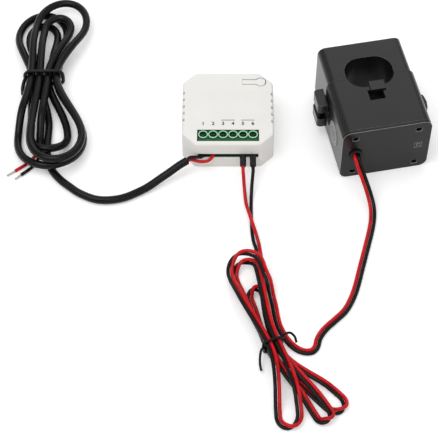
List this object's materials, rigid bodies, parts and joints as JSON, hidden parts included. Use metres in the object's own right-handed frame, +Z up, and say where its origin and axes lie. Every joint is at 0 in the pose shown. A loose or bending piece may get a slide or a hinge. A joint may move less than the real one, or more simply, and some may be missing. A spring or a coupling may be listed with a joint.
{
  "type": "energy monitor with split-core current clamp",
  "caption": "Clip-on energy monitor: off-white module with green terminal strip and button, bundled black mains cable, and a hinged split-core current clamp on a red and black twin lead.",
  "frame": {"origin": "middle of the module's underside, on the table", "axes": "+X to the right from module to clamp, +Y away from the viewer, +Z up"},
  "size_m": [0.219, 0.2648, 0.0354],
  "materials": {
    "case_plastic": "satin",
    "terminal_green": "satin",
    "circuit_board": "satin",
    "contact_brass": "satin",
    "screw_steel": "satin",
    "black_component": "matte",
    "grey_component": "matte",
    "shield_can": "satin",
    "yellow_component": "satin",
    "blue_component": "gloss",
    "clamp_plastic": "satin",
    "plate_plastic": "gloss",
    "core_ferrite": "matte",
    "bobbin_plastic": "matte",
    "winding_copper": "satin",
    "finger_plastic": "satin",
    "grommet_rubber": "matte",
    "label_film": "matte",
    "cable_black": "satin",
    "cable_red": "satin",
    "tinned_copper": "satin",
    "ferrule_sleeve": "satin"
  },
  "bodies": {
    "base": {"top_cover": "case_plastic", "bottom_case": "case_plastic", "terminal_block": "terminal_green", "main_board": "circuit_board", "contact_bars": "contact_brass", "hinge_pin": "screw_steel", "switch_body": "black_component", "metering_chip": "black_component", "bulk_capacitor": "black_component", "fuse": "grey_component", "radio_module": "shield_can", "power_transformer": "yellow_component", "film_capacitor": "yellow_component", "varistor": "blue_component", "clamp_body": "clamp_plastic", "clamp_end_plate": "plate_plastic", "core_lower": "core_ferrite", "bobbin": "bobbin_plastic", "winding": "winding_copper", "cable_finger": "finger_plastic", "lead_grommet": "grommet_rubber", "side_label": "label_film", "mains_cable_run": "cable_black", "mains_cable_hank": "cable_black", "mains_core_black": "cable_black", "mains_tail_black": "cable_black", "lead_black_run": "cable_black", "lead_black_hank": "cable_black", "lead_black_end": "cable_black", "mains_tie": "cable_black", "lead_tie": "cable_black", "mains_core_red": "cable_red", "mains_tail_red": "cable_red", "lead_red_run": "cable_red", "lead_red_hank": "cable_red", "lead_red_end": "cable_red", "tinned_tips": "tinned_copper", "ferrules": "ferrule_sleeve"},
    "button": {"button_tongue": "case_plastic"},
    "plunger": {"switch_plunger": "grey_component"},
    "jaw": {"clamp_jaw": "clamp_plastic", "core_upper": "core_ferrite", "core_spring": "screw_steel", "latch_pin": "screw_steel"},
    "latch": {"latch_lever": "clamp_plastic"},
    "screw_1": {"terminal_screw_1": "screw_steel"},
    "cage_1": {"terminal_cage_1": "contact_brass"},
    "screw_2": {"terminal_screw_2": "screw_steel"},
    "cage_2": {"terminal_cage_2": "contact_brass"},
    "screw_3": {"terminal_screw_3": "screw_steel"},
    "cage_3": {"terminal_cage_3": "contact_brass"},
    "screw_4": {"terminal_screw_4": "screw_steel"},
    "cage_4": {"terminal_cage_4": "contact_brass"},
    "screw_5": {"terminal_screw_5": "screw_steel"},
    "cage_5": {"terminal_cage_5": "contact_brass"},
    "screw_6": {"terminal_screw_6": "screw_steel"},
    "cage_6": {"terminal_cage_6": "contact_brass"}
  },
  "joints": [
    {"name": "button_press", "type": "hinge", "parent": "base", "child": "button", "pos_m": [0.0075, 0.0179, 0.0174], "axis": [0, 1, 0], "range_deg": [0, 2.04], "stiffness_Nm_per_rad": 0.7},
    {"name": "plunger_push", "type": "slide", "parent": "base", "child": "plunger", "axis": [0, 0, -1], "range_m": [0, 0.000335]},
    {"name": "jaw_open", "type": "hinge", "parent": "base", "child": "jaw", "pos_m": [0.09922, 0.00896, 0.01725], "axis": [0, 0, -1], "range_deg": [0, 110]},
    {"name": "latch_flex", "type": "hinge", "parent": "jaw", "child": "latch", "pos_m": [0.04799, 0.00505, 0.0175], "axis": [0, 0, -1], "range_deg": [0, 12], "stiffness_Nm_per_rad": 0.12},
    {"name": "screw_turn_1", "type": "hinge", "parent": "base", "child": "screw_1", "pos_m": [-0.0127, -0.0171, 0.0146], "axis": [0, 0, 1], "range_deg": [0, 1084]},
    {"name": "cage_move_1", "type": "slide", "parent": "base", "child": "cage_1", "axis": [0, 0, -1], "range_m": [0, 0.00135]},
    {"name": "screw_turn_2", "type": "hinge", "parent": "base", "child": "screw_2", "pos_m": [-0.00762, -0.0171, 0.0146], "axis": [0, 0, 1], "range_deg": [0, 1084]},
    {"name": "cage_move_2", "type": "slide", "parent": "base", "child": "cage_2", "axis": [0, 0, -1], "range_m": [0, 0.00135]},
    {"name": "screw_turn_3", "type": "hinge", "parent": "base", "child": "screw_3", "pos_m": [-0.00254, -0.0171, 0.0146], "axis": [0, 0, 1], "range_deg": [0, 1084]},
    {"name": "cage_move_3", "type": "slide", "parent": "base", "child": "cage_3", "axis": [0, 0, -1], "range_m": [0, 0.00135]},
    {"name": "screw_turn_4", "type": "hinge", "parent": "base", "child": "screw_4", "pos_m": [0.00254, -0.0171, 0.0146], "axis": [0, 0, 1], "range_deg": [0, 1084]},
    {"name": "cage_move_4", "type": "slide", "parent": "base", "child": "cage_4", "axis": [0, 0, -1], "range_m": [0, 0.00135]},
    {"name": "screw_turn_5", "type": "hinge", "parent": "base", "child": "screw_5", "pos_m": [0.00762, -0.0171, 0.0146], "axis": [0, 0, 1], "range_deg": [0, 1084]},
    {"name": "cage_move_5", "type": "slide", "parent": "base", "child": "cage_5", "axis": [0, 0, -1], "range_m": [0, 0.00135]},
    {"name": "screw_turn_6", "type": "hinge", "parent": "base", "child": "screw_6", "pos_m": [0.0127, -0.0171, 0.0146], "axis": [0, 0, 1], "range_deg": [0, 1084]},
    {"name": "cage_move_6", "type": "slide", "parent": "base", "child": "cage_6", "axis": [0, 0, -1], "range_m": [0, 0.00135]}
  ],
  "couplings": [
    {"joint": "button_press", "follows": "plunger_push", "rad_per_m": 104.17},
    {"joint": "screw_turn_1", "follows": "cage_move_1", "rad_per_m": 13963},
    {"joint": "screw_turn_2", "follows": "cage_move_2", "rad_per_m": 13963},
    {"joint": "screw_turn_3", "follows": "cage_move_3", "rad_per_m": 13963},
    {"joint": "screw_turn_4", "follows": "cage_move_4", "rad_per_m": 13963},
    {"joint": "screw_turn_5", "follows": "cage_move_5", "rad_per_m": 13963},
    {"joint": "screw_turn_6", "follows": "cage_move_6", "rad_per_m": 13963}
  ]
}
